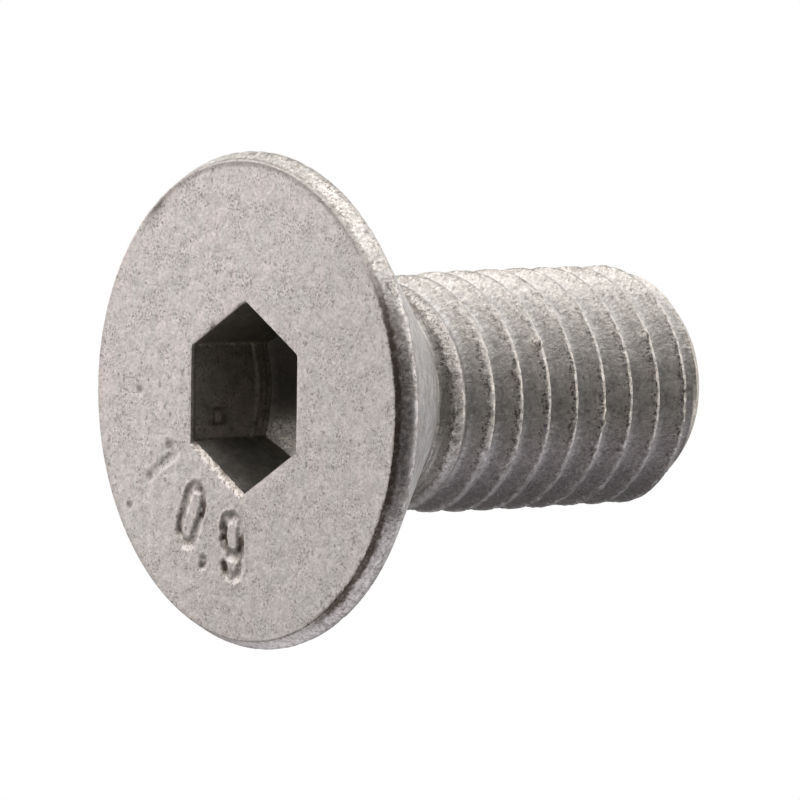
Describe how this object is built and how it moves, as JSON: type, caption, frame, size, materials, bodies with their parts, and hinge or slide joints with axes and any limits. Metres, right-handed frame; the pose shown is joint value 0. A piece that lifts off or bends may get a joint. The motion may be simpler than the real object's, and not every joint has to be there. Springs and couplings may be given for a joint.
{
  "type": "countersunk bolt",
  "caption": "Zinc-coated steel countersunk bolt: flat head with a hexagon socket, a ninety-degree seating cone and a coarse metric thread up to the cone.",
  "frame": {"origin": "on the bolt's axis, in the plane of the head's flat face; the bolt stands on its head", "axes": "+Z along the shank towards the tip; +X square to a flat of the hexagon socket"},
  "size_m": [0.024, 0.024, 0.025],
  "materials": {
    "zinc_steel": "matte grey zinc coating, finely speckled"
  },
  "bodies": {
    "root": {"bolt": "zinc_steel"}
  },
  "joints": []
}
